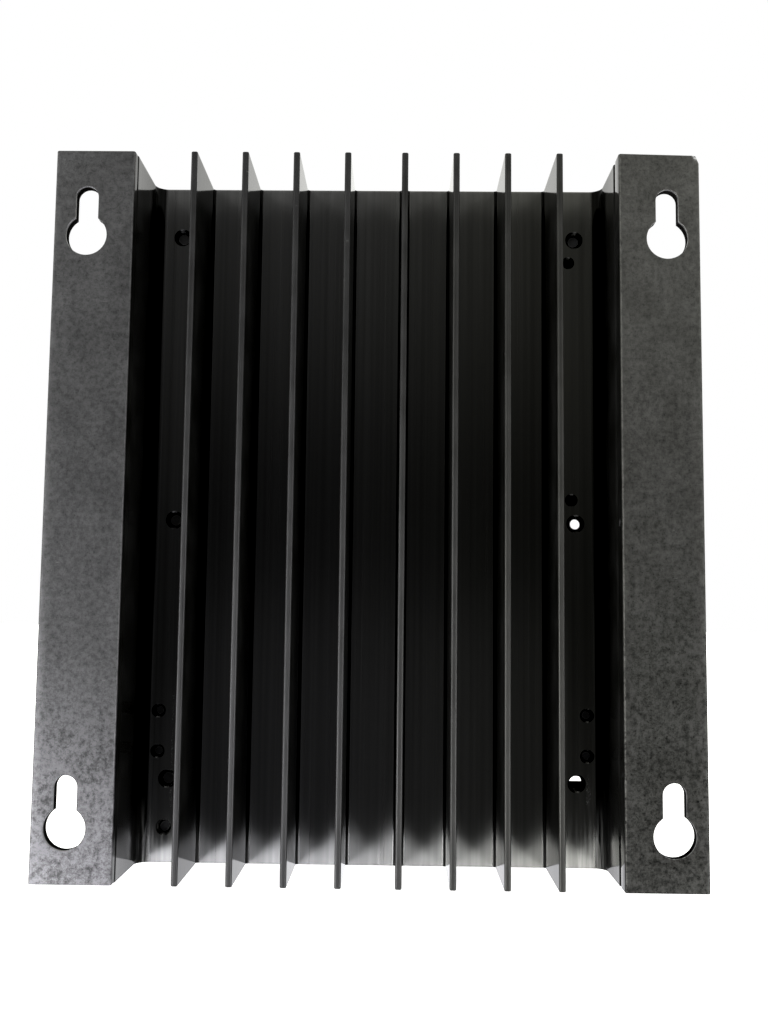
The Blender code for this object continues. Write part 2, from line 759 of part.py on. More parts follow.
def clamp_screw_mesh():
    """A slotted cheese-head clamp screw about the centre of its seat."""
    head = CLAMP_HEAD_RADIUS
    height = 2.8 * MM
    shank = CLAMP_SHANK_RADIUS
    length = SCREW_SEAT_DEPTH - BAR_DEPTH[1] - GAP
    profile = [
        (shank * 0.75, -length),
        (shank, -length + 0.6 * MM),
        (shank, 0),
        (head, 0),
        (head, height - 0.4 * MM),
        (head - 0.4 * MM, height),
    ]
    bm = solid(add_turned, forward_at(0, 0), profile, SCREW_STEPS)
    half_slot = 0.6 * MM
    reach = head + OVERSHOOT
    slot_depth = (height - 1.4 * MM, height + OVERSHOOT)
    cutter = solid(add_block, (-reach, reach), slot_depth, (-half_slot, half_slot))
    return shared_mesh("clamp_screw", bm, [cutter], place(0, 0, 0), zinc())


def cage_mesh():
    """A rectangular clamp cage about its screw's axis, open for the wire and bored in front."""
    z = [value - TERMINAL_Z for value in CAGE_Z]
    bm = solid(add_block, (-CAGE_X, CAGE_X), CAGE_DEPTH, z)
    way = bmesh.new()
    along = (z[0] - OVERSHOOT, z[1] + OVERSHOOT)
    add_block(way, (-CAGE_OPENING_X, CAGE_OPENING_X), CAGE_OPENING_DEPTH, along)
    front = (CAGE_OPENING_DEPTH[1] - OVERSHOOT, CAGE_DEPTH[1] + OVERSHOOT)
    bore = solid(add_rod, 0, 0, CAGE_BORE_RADIUS, front, 16)
    return shared_mesh("clamp_cage", bm, (way, bore), place(0, 0, 0), brass())


def make_terminals(group):
    """The current bar, clamp cage and clamp screw of each pole."""
    cage = cage_mesh()
    screw = clamp_screw_mesh()
    for number, x in enumerate(TERMINAL_X, 1):
        bm = solid(add_block, (x - BAR_X, x + BAR_X), BAR_DEPTH, BAR_Z)
        add_part(f"current_bar_{number}", bm, copper(), group)
        add_object(f"clamp_cage_{number}", cage, place(x, 0, TERMINAL_Z), None, group)
        put_screw(f"clamp_screw_{number}", screw, x, SCREW_SEAT_DEPTH, TERMINAL_Z, group)


# --- Covers ---------------------------------------------------------------------------


def bend(x, depth, radius):
    """A corner of a folded section, as (across, along Y, radius)."""
    return (x, FACE_Y - depth, radius)


def hat_outline():
    """The front cover's folded section: feet, sides and front."""
    w = COVER_HALF_WIDTH
    low = GAP
    foot = GAP + SHEET
    inside = BEND_RADIUS
    outside = BEND_RADIUS + SHEET
    half = [
        bend(FOOT_REACH, low, 0),
        bend(FOOT_REACH, foot, 0),
        bend(w, foot, inside),
        bend(w, COVER_DEPTH, outside),
    ]
    inner = [
        bend(w - SHEET, COVER_DEPTH - SHEET, inside),
        bend(w - SHEET, low, outside),
    ]
    mirrored = [(-x, y, r) for x, y, r in reversed(half)]
    inner_mirrored = [(-x, y, r) for x, y, r in reversed(inner)]
    return rounded(half + mirrored + inner_mirrored + inner, 3)


def wiring_outline():
    """The wiring cover's folded section: two sides and a front."""
    w = COVER_HALF_WIDTH
    outer = [
        bend(w, WIRING_SIDE_DEPTH, 0),
        bend(w, COVER_DEPTH, BEND_RADIUS + SHEET),
    ]
    inner = [
        bend(w - SHEET, COVER_DEPTH - SHEET, BEND_RADIUS),
        bend(w - SHEET, WIRING_SIDE_DEPTH, 0),
    ]
    mirrored = [(-x, y, r) for x, y, r in reversed(outer)]
    inner_mirrored = [(-x, y, r) for x, y, r in reversed(inner)]
    return rounded(outer + mirrored + inner_mirrored + inner, 3)


def add_front_openings(bm, depth, button_clearance):
    """The display, light and button openings that the cover's front and its label share."""
    width, height = DISPLAY_VIEW
    add_block(bm, *centred(width, depth, height, DISPLAY_Z))
    for x in LED_X:
        add_rod(bm, x, LED_Z, LED_HOLE_RADIUS, depth, 16)
    for x in BUTTON_X:
        add_rod(bm, x, BUTTON_Z, BUTTON_RADIUS + button_clearance, depth)


def front_screw_places():
    """The side and the height of each screw that holds the front cover."""
    return [(-1, COVER_HOLE_Z[0]), (1, COVER_HOLE_Z[0]), (1, COVER_HOLE_Z[1])]


def front_cover_cutter():
    """The window, light, button, screw, vent and bar openings of the front cover."""
    bm = bmesh.new()
    front = (COVER_DEPTH - SHEET - OVERSHOOT, COVER_DEPTH + OVERSHOOT)
    wall_inside = COVER_HALF_WIDTH - SHEET - OVERSHOOT
    wall_outside = COVER_HALF_WIDTH + OVERSHOOT
    add_front_openings(bm, front, 0.5 * MM)
    for side, z in front_screw_places():
        add_rod(bm, side * COVER_HOLE_X, z, FOOT_HOLE_RADIUS, FOOT_CUT)
    add_rod(bm, *SPARE_FOOT_HOLE, FOOT_CUT)
    for side in (-1, 1):
        wall = sorted((side * wall_inside, side * wall_outside))
        for index in range(VENT_COUNT):
            z = VENT_FIRST_Z + VENT_PITCH * index
            add_block(bm, wall, VENT_DEPTH, (z, z + VENT_HEIGHT))
    bottom = (FRONT_COVER_Z[0] - OVERSHOOT, FRONT_COVER_Z[0] + SHEET + OVERSHOOT)
    reach = TERMINAL_X[-1] + BAR_X + 1.5 * MM
    add_block(bm, (-reach, reach), (-OVERSHOOT, BAR_DEPTH[1] + 1.5 * MM), bottom)
    return bm


def end_plate(bm, z):
    """A wall that closes one end of a folded cover, sunk halfway into its sheet."""
    sink = SHEET / 2
    reach = COVER_HALF_WIDTH - sink
    add_block(bm, (-reach, reach), (WIRING_SIDE_DEPTH, COVER_DEPTH - sink), z)


def make_front_cover(group):
    """The folded front cover with its label, window and captive screws."""
    frame = Matrix.Translation((0, 0, FRONT_COVER_Z[0]))
    length = FRONT_COVER_Z[1] - FRONT_COVER_Z[0]
    bm = solid(add_prism, hat_outline(), frame, length)
    cover = add_part("front_cover", bm, black_paint(), group)
    ends = bmesh.new()
    end_plate(ends, (FRONT_COVER_Z[0], FRONT_COVER_Z[0] + SHEET))
    end_plate(ends, (FRONT_COVER_Z[1] - SHEET, FRONT_COVER_Z[1]))
    shape(cover, "UNION", ends)
    shape(cover, "DIFFERENCE", front_cover_cutter())
    seat = GAP + SHEET + GAP
    screw_mesh = pan_screw_mesh("cover_screw", 4.3 * MM, 2.8 * MM, 2.2 * MM, 5.6 * MM)
    for number, (side, z) in enumerate(front_screw_places(), 1):
        name = f"front_cover_screw_{number}"
        put_screw(name, screw_mesh, side * COVER_HOLE_X, seat, z, group)
    make_label(group)
    pane_front = COVER_DEPTH - SHEET - GAP
    pane = (pane_front - PANE_THICKNESS, pane_front)
    width, height = DISPLAY_PANE
    bm = solid(add_block, *centred(width, pane, height, DISPLAY_Z))
    add_part("display_window", bm, clear_plastic(), group)
    return screw_mesh


def make_label(group):
    """A blank film on the front, cut out for the display, lights and buttons."""
    back = COVER_DEPTH + GAP
    low, high = LABEL_Z
    places = [(-LABEL_X, low), (LABEL_X, low), (LABEL_X, high), (-LABEL_X, high)]
    corners = [(x, z, LABEL_CORNER) for x, z in places]
    frame = forward_at(0, 0) @ Matrix.Translation((0, 0, back))
    bm = solid(add_prism, rounded(corners, 4), frame, LABEL_THICKNESS)
    label = add_part("front_label", bm, label_film(), group)
    through = (back - OVERSHOOT, back + LABEL_THICKNESS + OVERSHOOT)
    shape(label, "DIFFERENCE", solid(add_front_openings, through, 0.7 * MM))


def add_lugs(bm):
    """The wiring cover's two feet, each an angle under one side wall; one is shorter."""
    w = COVER_HALF_WIDTH
    foot = GAP + SHEET
    top = WIRING_SIDE_DEPTH + 2 * MM
    for side, end in ((-1, SHORT_LUG_TOP), (1, LUG_Z[1])):
        outline = [
            (side * (w - SHEET), FACE_Y - GAP),
            (side * FOOT_REACH, FACE_Y - GAP),
            (side * FOOT_REACH, FACE_Y - foot),
            (side * w, FACE_Y - foot),
            (side * w, FACE_Y - top),
            (side * (w - SHEET), FACE_Y - top),
        ]
        add_prism(bm, outline, Matrix.Translation((0, 0, LUG_Z[0])), end - LUG_Z[0])


def add_grommet(bm, x):
    """A rubber ring with a groove round the sheet of the wiring cover's end wall."""
    low = WIRING_COVER_Z[0] - GAP
    high = WIRING_COVER_Z[0] + SHEET + GAP
    bottom = low - GROMMET_LIP
    top = high + GROMMET_LIP
    edge = 0.8 * MM
    waist = CABLE_HOLE_RADIUS - GAP
    profile = [
        (GROMMET_BORE_RADIUS, bottom),
        (GROMMET_FLANGE_RADIUS - edge, bottom),
        (GROMMET_FLANGE_RADIUS, bottom + edge),
        (GROMMET_FLANGE_RADIUS, low),
        (waist, low),
        (waist, high),
        (GROMMET_FLANGE_RADIUS, high),
        (GROMMET_FLANGE_RADIUS, top - edge),
        (GROMMET_FLANGE_RADIUS - edge, top),
        (GROMMET_BORE_RADIUS, top),
    ]
    frame = Matrix.Translation(place(x, CABLE_HOLE_DEPTH, 0))
    add_turned(bm, frame, profile, ROUND_STEPS, True)


def make_wiring_cover(group, screw_mesh):
    """The cover over the terminals, with its cable grommets and its one fitted screw."""
    frame = Matrix.Translation((0, 0, WIRING_COVER_Z[0]))
    bm = solid(add_prism, wiring_outline(), frame, WIRING_COVER_Z[1] - WIRING_COVER_Z[0])
    cover = add_part("wiring_cover", bm, black_paint(), group)
    extra = bmesh.new()
    end_plate(extra, (WIRING_COVER_Z[0], WIRING_COVER_Z[0] + SHEET))
    add_lugs(extra)
    shape(cover, "UNION", extra)
    cutter = bmesh.new()
    add_rod(cutter, COVER_HOLE_X, COVER_HOLE_Z[2], FOOT_HOLE_RADIUS, FOOT_CUT)
    for x in CABLE_HOLE_X:
        centre = place(x, CABLE_HOLE_DEPTH, WIRING_COVER_Z[0])
        bmesh.ops.create_cone(
            cutter,
            cap_ends=True,
            segments=ROUND_STEPS,
            radius1=CABLE_HOLE_RADIUS,
            radius2=CABLE_HOLE_RADIUS,
            depth=2 * (SHEET + OVERSHOOT),
            matrix=Matrix.Translation(centre),
        )
    shape(cover, "DIFFERENCE", cutter)
    seat = GAP + SHEET + GAP
    put_screw("wiring_cover_screw", screw_mesh, COVER_HOLE_X, seat, COVER_HOLE_Z[2], group)
    for number, x in enumerate(CABLE_HOLE_X, 1):
        bm = solid(add_grommet, x)
        add_part(f"cable_grommet_{number}", bm, rubber(), group)


def main():
    clear_scene()
    controller = group_at("charge_controller")
    chassis = group_at("chassis_group", controller)
    make_chassis(chassis)
    make_ground_screw(chassis)
    make_board(chassis)
    make_transistors(chassis)
    make_capacitors(chassis)
    make_display(chassis)
    make_leds(chassis)
    make_switches(chassis)
    make_terminal_block(chassis)
    make_terminals(chassis)
    front = group_at("front_cover_group", controller)
    cover_screw = make_front_cover(front)
    wiring = group_at("wiring_cover_group", controller)
    make_wiring_cover(wiring, cover_screw)


main()
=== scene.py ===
"""Looks for the charge controller: materials, finer chassis, floor, light and camera."""

import json
import math
import random

import bmesh
import bpy
from mathutils import Matrix, Vector


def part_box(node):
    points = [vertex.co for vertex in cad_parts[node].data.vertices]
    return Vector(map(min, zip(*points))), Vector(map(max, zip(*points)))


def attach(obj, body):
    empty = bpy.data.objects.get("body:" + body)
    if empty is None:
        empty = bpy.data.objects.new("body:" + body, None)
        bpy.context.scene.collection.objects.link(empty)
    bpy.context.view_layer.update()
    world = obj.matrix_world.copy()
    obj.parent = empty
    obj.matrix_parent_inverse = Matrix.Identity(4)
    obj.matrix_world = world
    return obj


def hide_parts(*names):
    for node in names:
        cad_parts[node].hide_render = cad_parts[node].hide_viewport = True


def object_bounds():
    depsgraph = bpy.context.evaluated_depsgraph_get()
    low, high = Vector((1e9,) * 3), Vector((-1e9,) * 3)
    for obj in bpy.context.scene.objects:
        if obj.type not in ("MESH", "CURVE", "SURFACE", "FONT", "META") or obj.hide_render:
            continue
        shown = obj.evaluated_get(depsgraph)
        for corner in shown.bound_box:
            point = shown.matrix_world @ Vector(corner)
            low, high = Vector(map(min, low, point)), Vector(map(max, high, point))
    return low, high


MM = 0.001

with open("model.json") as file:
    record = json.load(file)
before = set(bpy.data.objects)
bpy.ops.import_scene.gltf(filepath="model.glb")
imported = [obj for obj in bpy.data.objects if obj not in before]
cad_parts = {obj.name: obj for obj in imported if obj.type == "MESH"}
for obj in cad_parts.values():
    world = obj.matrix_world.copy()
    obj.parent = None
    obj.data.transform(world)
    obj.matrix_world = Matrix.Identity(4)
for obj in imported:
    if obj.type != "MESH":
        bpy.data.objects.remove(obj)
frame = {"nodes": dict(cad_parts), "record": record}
cad_low, cad_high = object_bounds()

# Chassis section, as in the CAD source
WIDTH = 200 * MM
LENGTH = 223.5 * MM
FIN_HEIGHT = 31 * MM
BASE_THICKNESS = 6 * MM
FLANGE_THICKNESS = 3.7 * MM
FLANGE_WIDTH = 24.9 * MM
WALL_THICKNESS = 3.7 * MM
WALL_FILLET = 4 * MM
FIN_THICKNESS = 2 * MM
FIN_PITCH = 16 * MM
FIRST_FIN_X = 8.9 * MM
FINS_A_SIDE = 4
FACE_Y = -(FIN_HEIGHT + BASE_THICKNESS)
KEYHOLE_X = 89.9 * MM
KEYHOLE_Z = (84.7 * MM, -95.6 * MM)
KEYHOLE_RADIUS = 6.35 * MM
SLOT_RADIUS = 3.5 * MM
SLOT_RISE = 12 * MM
COVER_HOLES = (66.1 * MM, (94.8 * MM, -1.2 * MM, -85.2 * MM), 2.6 * MM)
PLATE_HOLES = (69.5 * MM, (-63.5 * MM, -76.5 * MM), 1.9 * MM)
GROUND_HOLE = (66.8 * MM, -100.6 * MM, 2.3 * MM)
SPARE_HOLES = ((-64.1 * MM, 86.9 * MM, 1.75 * MM), (-64.8 * MM, 6.6 * MM, 1.75 * MM))
CLAMP_HOLES = ((-24 * MM, 88 * MM, 2 * MM), (24 * MM, 88 * MM, 2 * MM))
CLAMP_HOLE_DEPTH = 5 * MM
GROOVE_DEPTH = 0.45 * MM
GROOVE_Y = (-5.8 * MM, -8.6 * MM)
LAND_HEIGHT = 0.25 * MM
LAND_Y = (-3.2 * MM, -4.0 * MM)
SMALL_RADIUS = 0.4 * MM
THREAD_PITCH = 0.7 * MM
THREAD_HEIGHT = 0.3 * MM
RIM_BREAK = 0.12 * MM
END_BREAK = 0.35 * MM
END_STEPS = 4
BRUISED_CORNER = Vector((-WIDTH / 2, -FLANGE_THICKNESS / 2, LENGTH / 2))
BRUISE_REACH = 2.8 * MM
BRUISE_PUSH = Vector((0.9 * MM, 0, -0.7 * MM))
# Lines where the black is rubbed off, as (x, half width, top, bottom)
RUBBED_LINES = (
    (64.8 * MM, 0.5 * MM, -57 * MM, -96 * MM),
    (-69.6 * MM, 0.7 * MM, -81.5 * MM, -93 * MM),
    (-70.4 * MM, 0.3 * MM, -86 * MM, -92 * MM),
)

# Front label, display and circuit board
LABEL_BORDER_X = 46.5 * MM
LABEL_BORDER_Z = (-40.5 * MM, 88.5 * MM)
LABEL_BAND_Z = (70 * MM, 82 * MM)
DISPLAY_Z = 14 * MM
DISPLAY_HALF = (32 * MM, 8 * MM)
DISPLAY_FRONT_Y = FACE_Y - 27.15 * MM
DISPLAY_CELL = (3.9 * MM, 7.6 * MM)
BOARD_FRONT = 11.75 * MM
TRACK_PITCH = 2.5 * MM


# --- Node helpers -----------------------------------------------------------------------


class Graph:
    """Short ways to add shader nodes to one node tree."""

    def __init__(self, tree):
        self.tree = tree

    def add(self, kind, **settings):
        node = self.tree.nodes.new(kind)
        for name, value in settings.items():
            setattr(node, name, value)
        return node

    def put(self, socket, value):
        """Links a socket to a value, or sets it."""
        if isinstance(value, bpy.types.NodeSocket):
            self.tree.links.new(value, socket)
        else:
            socket.default_value = value

    def math(self, operation, *values):
        node = self.add("ShaderNodeMath", operation=operation)
        for socket, value in zip(node.inputs, values):
            self.put(socket, value)
        return node.outputs[0]

    def vector(self, operation, *values):
        node = self.add("ShaderNodeVectorMath", operation=operation)
        for socket, value in zip(node.inputs, values):
            self.put(socket, value)
        return node.outputs["Value" if operation in ("DOT_PRODUCT", "LENGTH") else "Vector"]

    def place(self):
        return self.add("ShaderNodeTexCoord").outputs["Object"]

    def split(self, vector):
        node = self.add("ShaderNodeSeparateXYZ")
        self.put(node.inputs[0], vector)
        return node.outputs

    def step(self, value, low, high, out_low=0.0, out_high=1.0):
        """A smooth step of a value from one level to another."""
        node = self.add("ShaderNodeMapRange", interpolation_type="SMOOTHSTEP")
        for socket, item in zip(node.inputs, (value, low, high, out_low, out_high)):
            self.put(socket, item)
        return node.outputs[0]

    def noise(self, scale, detail=3.0, stretch=(1, 1, 1), roughness=0.55, shift=0.0):
        """Noise over the piece, with features of about 1 / scale metres."""
        place = self.vector("MULTIPLY", self.place(), stretch)
        place = self.vector("ADD", place, (shift, shift, shift))
        node = self.add("ShaderNodeTexNoise")
        self.put(node.inputs["Vector"], place)
        self.put(node.inputs["Scale"], scale)
        self.put(node.inputs["Detail"], detail)
        self.put(node.inputs["Roughness"], roughness)
        return node.outputs["Fac"]

    def lerp(self, factor, first, second):
        """Mixes two numbers."""
        node = self.add("ShaderNodeMix", data_type="FLOAT")
        for index, item in ((0, factor), (2, first), (3, second)):
            self.put(node.inputs[index], item)
        return node.outputs[0]

    def blend(self, factor, first, second):
        """Mixes two colours."""
        node = self.add("ShaderNodeMix", data_type="RGBA")
        self.put(node.inputs["Factor"], factor)
        self.put(node.inputs[6], (*first, 1.0) if isinstance(first, tuple) else first)
        self.put(node.inputs[7], (*second, 1.0) if isinstance(second, tuple) else second)
        return node.outputs[2]

    def bump(self, height, distance, strength=1.0):
        node = self.add("ShaderNodeBump")
        self.put(node.inputs["Strength"], strength)
        self.put(node.inputs["Distance"], distance)
        self.put(node.inputs["Height"], height)
        return node.outputs[0]

    def edges(self, radius):
        """0 on flat faces and up to 1 where the shape turns within the radius."""
        bevel = self.add("ShaderNodeBevel", samples=4)
        self.put(bevel.inputs["Radius"], radius)
        plain = self.add("ShaderNodeNewGeometry").outputs["Normal"]
        turn = self.vector("DOT_PRODUCT", bevel.outputs[0], plain)
        return self.step(turn, 0.995, 0.85)


def material(name):
    """A new material's graph and its Principled shader."""
    made = bpy.data.materials.new(name)
    made.use_nodes = True
    graph = Graph(made.node_tree)
    return made, graph, made.node_tree.nodes["Principled BSDF"].inputs


# --- Materials --------------------------------------------------------------------------


def chassis_marks(g, x, y, z):
    """0 to 1 where the black has gone: rubbed lines beside the low holes and the bruised corner."""
    dots = g.step(g.noise(2700, 4.0, roughness=0.8, shift=15.0), 0.55, 0.66)
    marks = None
    for centre, half_width, top, bottom in RUBBED_LINES:
        away = g.math("ABSOLUTE", g.math("SUBTRACT", x, centre))
        line = g.math("MULTIPLY", g.step(away, half_width, 0.3 * half_width), dots)
        line = g.math("MULTIPLY", line, g.step(z, top, top - 2 * MM))
        line = g.math("MULTIPLY", line, g.step(z, bottom, bottom + 2 * MM))
        marks = line if marks is None else g.math("MAXIMUM", marks, line)
    marks = g.math("MULTIPLY", marks, g.step(y, -FIN_HEIGHT + 1 * MM, -FIN_HEIGHT + 0.5 * MM))
    away = g.vector("LENGTH", g.vector("SUBTRACT", g.place(), tuple(BRUISED_CORNER)))
    bruise = g.step(away, BRUISE_REACH + 0.5 * MM, BRUISE_REACH - 1.2 * MM)
    bruise = g.math("MULTIPLY", bruise, g.step(g.noise(900, 3.0, shift=17.0), 0.42, 0.55))
    return g.math("MAXIMUM", marks, bruise)


def chassis_masks(g, x, y):
    """Masks for the wall-plane faces, the flanges, the fin tips and the keyholes' cut walls."""
    wide = g.math("ABSOLUTE", x)
    flat = g.step(y, -0.9 * MM, -0.2 * MM)
    flange = g.math("MULTIPLY", flat, g.step(wide, 73.6 * MM, 74.6 * MM))
    tip = g.math("SUBTRACT", flat, flange)
    deep = g.math("MULTIPLY", g.step(y, -0.06 * MM, -0.16 * MM), g.step(y, -3.65 * MM, -3.5 * MM))
    within = g.math("MULTIPLY", g.step(wide, 78 * MM, 79 * MM), g.step(wide, 99 * MM, 98.5 * MM))
    return wide, flat, flange, tip, g.math("MULTIPLY", deep, within)


def chassis_tone(g, place, masks, noises):
    """The black, with a grey mottle low on the left flange that is partly wear and partly painted light,
    bright where it is scratched or rubbed off, and with painted highlight streaks low in the outer
    channels.
    """
    x, y, z = place
    wide, flat, flange, tip, cut = masks
    speck, pits, patch = noises
    grain = g.noise(2400, 2.0)
    # Grey mottle low on the left flange: partly real wear, partly painted light from a low lamp on the
    # left, so it is kept to that corner and made brighter there.
    lower_left = g.math("SUBTRACT", g.math("MULTIPLY", x, 0.45), z)
    wear_and_painted_light = g.math("MULTIPLY", g.step(lower_left, 0.075, 0.18), g.step(x, 0.0, 0.07))
    wear_and_painted_light = g.math("MULTIPLY", wear_and_painted_light, flange)
    blotch = g.step(g.math("ADD", speck, g.math("MULTIPLY", patch, 0.5)), 0.58, 0.86)
    flecks = g.math("MULTIPLY", g.step(speck, 0.68, 0.76), g.step(patch, 0.45, 0.6))
    edge = g.math("MULTIPLY", g.edges(0.35 * MM), g.step(grain, 0.3, 0.7))
    scratch = g.step(g.noise(1.0, 1.0, (260, 260, 2600), shift=11.0), 0.755, 0.79)
    # Painted highlight: bright streaks on the outer channel floors near the lower end, standing in for
    # light that reaches in under the fin ends.
    painted_end_streak = g.step(g.noise(1.0, 2.0, (1100, 1100, 60), shift=13.0), 0.42, 0.64)
    end = g.math("MULTIPLY", painted_end_streak, g.step(z, -90 * MM, -105 * MM))
    end = g.math("MULTIPLY", end, g.step(y, -FIN_HEIGHT + 2 * MM, -FIN_HEIGHT + 1 * MM))
    end = g.math("MULTIPLY", end, g.step(wide, 54 * MM, 60 * MM))

    tone = g.blend(g.step(patch, 0.3, 0.75), (0.0015, 0.0015, 0.0013), (0.004, 0.004, 0.0037))
    for amount, colour in (
        # Grey mottle low on the left flange: wear and painted light.
        (g.math("MULTIPLY", wear_and_painted_light, blotch), (0.09, 0.088, 0.094)),
        (g.math("MULTIPLY", g.math("MULTIPLY", pits, wear_and_painted_light), 0.7), (0.012, 0.012, 0.012)),
        (g.math("MULTIPLY", g.math("MULTIPLY", flecks, flange), 0.35), (0.1, 0.1, 0.092)),
        (g.math("MULTIPLY", g.math("MULTIPLY", scratch, flat), 0.3), (0.12, 0.12, 0.11)),
        # Painted highlight streaks low on the outer channel floors.
        (g.math("MULTIPLY", end, 0.25), (0.16, 0.16, 0.15)),
        (g.math("MULTIPLY", edge, 0.35), (0.06, 0.06, 0.055)),
        (chassis_marks(g, x, y, z), (0.6, 0.6, 0.58)),
    ):
        tone = g.blend(amount, tone, colour)
    return tone


def chassis_material():
    """Black anodised extrusion: die lines, mottled flanges, specks and rubbed edges, with painted light low
    on the left flange and painted highlight streaks low in the outer channels.
    """
    made, g, shader = material("chassis_anodised")
    x, y, z = g.split(g.place())
    masks = chassis_masks(g, x, y)
    wide, flat, flange, tip, cut = masks
    die = g.noise(1.0, 2.0, (2600, 2600, 9))
    wide_die = g.noise(1.0, 2.0, (620, 620, 3), shift=7.0)
    grain = g.noise(2400, 2.0)
    speck = g.noise(520, 6.0, roughness=0.8, shift=3.0)
    pits = g.step(g.noise(1500, 3.0, roughness=0.75, shift=5.0), 0.45, 0.36)
    patch = g.noise(85, 4.0, roughness=0.6)
    g.put(shader["Base Color"], chassis_tone(g, (x, y, z), masks, (speck, pits, patch)))

    normal = g.add("ShaderNodeNewGeometry").outputs["Normal"]
    side = g.step(g.math("ABSOLUTE", g.split(normal)[0]), 0.1, 0.35)
    gloss = g.lerp(side, g.step(die, 0.2, 0.8, 0.27, 0.32), g.step(die, 0.2, 0.8, 0.06, 0.1))
    matt = g.step(patch, 0.25, 0.8, 0.44, 0.52)
    g.put(shader["Roughness"], g.lerp(flat, gloss, matt))
    shine = g.lerp(side, g.step(wide_die, 0.2, 0.85, 1.25, 1.75), 0.035)
    shine = g.lerp(cut, shine, 0.0)
    satin = g.math("SUBTRACT", g.step(speck, 0.3, 0.66, 0.38, 0.88), g.math("MULTIPLY", pits, 0.22))
    right = g.math("MULTIPLY", g.step(x, 0.03, -0.07), g.step(z, 0.09, -0.11, 0.0, 0.4))
    satin = g.math("MULTIPLY", g.math("SUBTRACT", satin, right), g.step(z, 115 * MM, 0.0, 0.88, 0.6))
    satin = g.lerp(tip, satin, g.step(die, 0.2, 0.8, 0.15, 0.29))
    g.put(shader["Specular IOR Level"], g.lerp(flat, shine, satin))
    tint = g.blend(g.step(x, 0.03, -0.07), (1.0, 1.0, 1.0), (1.0, 1.0, 0.9))
    g.put(shader["Specular Tint"], tint)
    g.put(shader["Anisotropic"], g.lerp(flat, 0.85, 0.2))
    across = g.vector("CROSS_PRODUCT", (0, 0, 1), normal)
    g.put(shader["Tangent"], g.vector("ADD", across, (0.001, 0.0005, 0.0)))
    fade = g.math("SUBTRACT", 1.0, g.math("MULTIPLY", flange, 0.6))
    lines = g.math("MULTIPLY", g.math("ADD", die, wide_die), fade)
    blast = g.math("MULTIPLY", grain, g.math("MULTIPLY", flange, 0.9))
    height = g.math("ADD", g.math("MULTIPLY", lines, 0.5), blast)
    g.put(shader["Normal"], g.bump(height, 0.04 * MM, 0.6))
    return made


def cover_paint():
    """Powder coat with an even texture and paler rubbed edges."""
    dark = (0.016, 0.016, 0.017)
    light = (0.024, 0.024, 0.025)
    made, g, shader = material("cover_paint")
    peel = g.noise(1500, 2.0)
    patch = g.noise(60, 4.0)
    scuff = g.step(g.noise(1.0, 2.0, (90, 90, 1400), shift=5.0), 0.7, 0.78)
    tone = g.blend(g.step(patch, 0.3, 0.7), dark, light)
    tone = g.blend(g.math("MULTIPLY", scuff, 0.2), tone, tuple(3 * value for value in light))
    tone = g.blend(g.math("MULTIPLY", g.edges(0.4 * MM), 0.4), tone, tuple(4 * value for value in light))
    g.put(shader["Base Color"], tone)
    g.put(shader["Roughness"], g.step(patch, 0.25, 0.8, 0.52, 0.66))
    g.put(shader["Specular IOR Level"], 0.15)
    g.put(shader["Normal"], g.bump(peel, 0.07 * MM, 0.8))
    return made


def plated(name, clean, dull, rough, lines):
    """Plated or drawn metal with tarnish, rubbing and fine lines."""
    made, g, shader = material(name)
    patch = g.noise(240, 4.0)
    line = g.noise(1.0, 2.0, tuple(1600 * value for value in lines), shift=2.0)
    spots = g.step(g.noise(1300, 3.0, shift=9.0), 0.6, 0.75)
    tone = g.blend(g.step(patch, 0.3, 0.75), clean, dull)
    tone = g.blend(g.math("MULTIPLY", spots, 0.3), tone, tuple(0.45 * value for value in dull))
    tone = g.blend(g.math("MULTIPLY", g.edges(0.25 * MM), 0.4), tone, (0.85, 0.85, 0.83))
    g.put(shader["Base Color"], tone)
    g.put(shader["Metallic"], 1.0)
    g.put(shader["Roughness"], g.step(patch, 0.25, 0.8, rough - 0.07, rough + 0.13))
    g.put(shader["Normal"], g.bump(line, 0.02 * MM, 0.5))
    return made


def moulded(name, dark, light, rough, grain):
    """Moulded plastic or rubber with fine grain, dust and softer edges."""
    made, g, shader = material(name)
    patch = g.noise(110, 4.0)
    fine = g.noise(grain, 3.0, shift=4.0)
    dust = g.math("MULTIPLY", g.step(g.noise(2600, 2.0, shift=8.0), 0.62, 0.75), 0.25)
    tone = g.blend(g.step(patch, 0.3, 0.72), dark, light)
    tone = g.blend(dust, tone, (0.25, 0.24, 0.22))
    rubbed = tuple(min(1.0, 2.5 * value) for value in light)
    tone = g.blend(g.math("MULTIPLY", g.edges(0.3 * MM), 0.25), tone, rubbed)
    g.put(shader["Base Color"], tone)
    g.put(shader["Roughness"], g.step(patch, 0.25, 0.8, rough - 0.07, rough + 0.1))
    g.put(shader["Normal"], g.bump(fine, 0.02 * MM, 0.7))
    return made


def board_material():
    """Solder mask with copper tracks under it and bare tinned pads."""
    made, g, shader = material("circuit_board")
    x, y, z = g.split(g.place())
    turns = g.noise(55, 0.0, shift=1.0)
    sway = g.math("MULTIPLY", turns, 9 * MM)
    across = g.math("FRACT", g.math("MULTIPLY", g.math("ADD", x, sway), 1 / TRACK_PITCH))
    along = g.math("FRACT", g.math("MULTIPLY", g.math("ADD", z, sway), 1 / TRACK_PITCH))
    pick = g.step(g.noise(45, 0.0, shift=6.0), 0.49, 0.51)
    track = g.lerp(pick, g.step(across, 0.42, 0.5), g.step(along, 0.42, 0.5))
    patch = g.noise(90, 4.0)
    tone = g.blend(track, (0.008, 0.07, 0.03), (0.02, 0.15, 0.055))
    tone = g.blend(g.math("MULTIPLY", g.step(patch, 0.4, 0.8), 0.3), tone, (0.03, 0.12, 0.06))
    g.put(shader["Base Color"], tone)
    g.put(shader["Roughness"], g.step(patch, 0.2, 0.8, 0.28, 0.45))
    g.put(shader["Normal"], g.bump(track, 0.04 * MM, 0.8))
    return made


